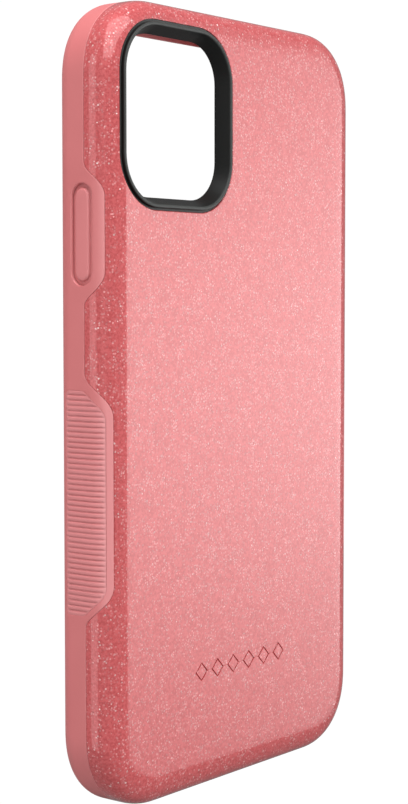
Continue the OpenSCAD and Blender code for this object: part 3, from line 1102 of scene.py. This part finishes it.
def glowing_material(name, strength):
    """Evenly lit white, with no shadows on it."""
    n = Surface(name)
    fleck = n.ramp(n.noise(900.0, 3.0), 0.3, 0.7)
    n.set(Emission_Color=n.mix(fleck, (0.99, 0.99, 0.99), (1.0, 1.0, 1.0)), Emission_Strength=strength,
          Base_Color=(0.0, 0.0, 0.0), Roughness=1.0, Specular_IOR_Level=0.0)
    return n.material


# ---- stage, lights and camera


def stage_object(name, points, faces, material):
    """A surface of the stage, in metres."""
    mesh = bpy.data.meshes.new(name)
    mesh.from_pydata(points, [], faces)
    mesh.materials.append(material)
    obj = bpy.data.objects.new(name, mesh)
    bpy.context.scene.collection.objects.link(obj)
    return obj


def make_stage():
    """A floor that curves up into a backdrop behind the object. It glows an even white, as the photograph's
    ground does, and takes no part in shadows, reflections or the light on the object."""
    width, front, back, height, bend = 1.6, -1.3, 0.75, 1.3, 0.4
    profile = [(front, 0.0), (back - bend, 0.0)]
    profile += [(back - bend + bend * math.sin(a), bend * (1 - math.cos(a)))
                for a in np.linspace(0.1, math.pi / 2, 16)]
    profile += [(back, height)]
    across = np.array([math.cos(VIEW_SIDE), math.sin(VIEW_SIDE)])
    away = np.array([-math.sin(VIEW_SIDE), math.cos(VIEW_SIDE)])
    points = [(*(across * s * width + away * d), z) for d, z in profile for s in (-1, 1)]
    faces = [(2 * k, 2 * k + 1, 2 * k + 3, 2 * k + 2) for k in range(len(profile) - 1)]
    sweep = stage_object("studio_sweep", points, faces, glowing_material("white_sweep", 1.03))
    for polygon in sweep.data.polygons:
        polygon.use_smooth = True
    sweep.visible_glossy = False
    sweep.visible_diffuse = False
    sweep.visible_shadow = False


def make_bounce_card():
    """A grey card just under the case, out of the camera's sight, that throws a little light up."""
    half = 0.7
    below = 0.0005
    points = [(x * half, y * half, -below) for x, y in ((-1, -1), (1, -1), (1, 1), (-1, 1))]
    grey = plain_material("grey_card", (0.42, 0.42, 0.42), 0.8)
    card = stage_object("bounce_card", points, [(0, 1, 2, 3)], grey)
    card.visible_camera = False
    card.visible_glossy = False


def glow_nodes(data, low_share, centre, spread, side_fade):
    """Makes a light brightest across a level band, falling off above, below and towards its sides."""
    data.use_nodes = True
    n = Nodes(data.node_tree)
    place = n.add("ShaderNodeNewGeometry").outputs["Parametric"]

    def bell(position, middle, width, power):
        """1 at the middle, and falling off to both sides of it."""
        away = n.math("DIVIDE", n.math("SUBTRACT", position, middle), width)
        raised = n.math("POWER", n.math("ABSOLUTE", away), power)
        return n.math("EXPONENT", n.math("MULTIPLY", raised, -1.0))

    band = n.math("MULTIPLY", bell(n.part(place, 1), centre, spread, 2.0), 1.0 - low_share)
    level = n.math("ADD", band, low_share)
    strength = n.math("MULTIPLY", level, bell(n.part(place, 0), 0.5, side_fade, 4.0))
    n.feed(n.tree.nodes["Emission"].inputs["Strength"], strength)


def area_light(name, place, target, width, height, radiance, glow=None):
    """A soft light, in millimetres and of a given radiance, that faces a target."""
    data = bpy.data.lights.new(name, "AREA")
    data.shape = "RECTANGLE"
    data.size = width * MM
    data.size_y = height * MM
    data.energy = radiance * math.pi * data.size * data.size_y
    if glow:
        glow_nodes(data, *glow)
    obj = bpy.data.objects.new(name, data)
    way = (Vector(place) - Vector(target)).normalized()
    obj.location = Vector(place) * MM
    obj.rotation_euler = way.to_track_quat("Z", "Y").to_euler()
    obj.visible_camera = False
    bpy.context.scene.collection.objects.link(obj)
    return obj


# The camera stands as the photograph's does: to the left of the back, a little above the middle. Angles
# are in degrees, the distance is in metres, and the lens and its shift are as Blender gives them
VIEW_AZIMUTH = -51.92
VIEW_ELEVATION = 3.408
VIEW_DISTANCE = 0.36407
LENS = 77.44
SHIFT_X = -0.0143
SHIFT_Y = -0.0023
VIEW_SIDE = math.radians(VIEW_AZIMUTH)


def make_camera():
    """The photograph's camera, which looks along a line through the middle of the case."""
    data = bpy.data.cameras.new("camera")
    data.sensor_width = 36.0
    data.lens = LENS
    data.shift_x = SHIFT_X
    data.shift_y = SHIFT_Y
    data.clip_start = 0.01
    data.clip_end = 20.0
    obj = bpy.data.objects.new("camera", data)
    a, e = math.radians(VIEW_AZIMUTH), math.radians(VIEW_ELEVATION)
    way = Vector((math.sin(a) * math.cos(e), -math.cos(a) * math.cos(e), math.sin(e)))
    middle = Vector((0, (BACK_Y + CASE_T / 2) * MM, CASE_H / 2 * MM))
    obj.location = middle + way * VIEW_DISTANCE
    obj.rotation_euler = way.to_track_quat("Z", "Y").to_euler()
    bpy.context.scene.collection.objects.link(obj)
    bpy.context.scene.camera = obj


def make_lights():
    """An even, dim surround, the lights that the shell mirrors, and two that show in no reflection."""
    surround = 0.24
    world = bpy.data.worlds.new("studio")
    world.use_nodes = True
    ground = world.node_tree.nodes["Background"]
    ground.inputs["Color"].default_value = (1.0, 1.0, 1.0, 1.0)
    ground.inputs["Strength"].default_value = surround
    bpy.context.scene.world = world
    area_light("back_softbox", (733, -503, 170), (-73, 102, 170), 465, 920, 3.1, (0.07, 0.375, 0.30, 0.9))
    area_light("corner_softbox", (-232, -683, 650), (-155, -619, 80), 1190, 1000, 2.55)
    area_light("camera_fill", (-1040, -600, 150), (0, 0, 80), 1200, 900, 0.36, (0.0, 0.5, 0.4, 0.45))
    area_light("side_strip", (-181, 61, 84), (-41, 0, 84), 70, 276, 1.38)
    area_light("top_softbox", (-150, 120, 900), (0, 0, 80), 800, 800, 3.5).visible_glossy = False
    area_light("back_fill", (500, -900, 250), (0, 0, 80), 600, 600, 2.4).visible_glossy = False


# ---- assembly

make_camera()
make_stage()
make_bounce_card()
make_lights()
bpy.context.scene.view_settings.view_transform = "Standard"

shell_finish = shell_material()
# Each rubber's pale colour is its painted sheen, where the surface faces the back
liner_finish = rubber_material("rose_rubber", light=(0.60, 0.165, 0.168), dark=(0.57, 0.152, 0.155),
                               pale=(0.69, 0.25, 0.255))
# The keys and grips are the liner's rubber, given lighter copies of its colour: painted light
key_rubber_painted_lighter = rubber_material("rose_rubber_key", light=(0.64, 0.193, 0.197), dark=(0.61, 0.18, 0.184),
                             pale=(0.68, 0.24, 0.245))
grip_rubber_painted_lighter = rubber_material("rose_rubber_grip", light=(0.63, 0.21, 0.215), dark=(0.60, 0.197, 0.202),
                              pale=(0.71, 0.29, 0.295))
bezel_finish = bezel_material()

# The ends of the keys' plates. The volume keys' plates share one seat, one on each side of its middle
half_pitch = VOLUME_PITCH / 2
power_reach = POWER_ISLAND / 2 + SEAT_R - ISLAND_R - SEAT_GAP
volume_reach = VOLUME_ISLANDS / 2 + SEAT_R - ISLAND_R - SEAT_GAP - half_pitch
power_low, power_high = (-power_reach, PLATE_ROUND), (power_reach, PLATE_ROUND)
up_low, up_high = (SEAT_GAP - half_pitch, PLATE_SQUARE), (volume_reach, PLATE_ROUND)
down_low, down_high = (-volume_reach, PLATE_ROUND), (half_pitch - SEAT_GAP, PLATE_SQUARE)

pieces = [
    (make_shell(), "outer_shell", "shell", "shell", shell_finish),
    (make_bezel(), "camera_bezel", "shell", "bezel", bezel_finish),
    (make_liner(), "inner_liner", "liner", "liner", liner_finish),
    (make_grip("left", "left_grip_pad"), "left_grip", "liner", "grip", grip_rubber_painted_lighter),
    (make_grip("right", "right_grip_pad"), "right_grip", "liner", "grip", grip_rubber_painted_lighter),
    (make_key("left", "power_key_cap", POWER_Z, POWER_ISLAND, power_low, power_high),
     "power_button", "power_key", "key", key_rubber_painted_lighter),
    (make_key("right", "volume_up_cap", VOLUME_Z + half_pitch, VOLUME_ISLAND, up_low, up_high),
     "volume_up_button", "volume_up_key", "key", key_rubber_painted_lighter),
    (make_key("right", "volume_down_cap", VOLUME_Z - half_pitch, VOLUME_ISLAND, down_low, down_high),
     "volume_down_button", "volume_down_key", "key", key_rubber_painted_lighter),
]
for piece, node, body, slot, finish in pieces:
    piece.data.materials.append(finish)
    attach(piece, body)
    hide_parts(node)
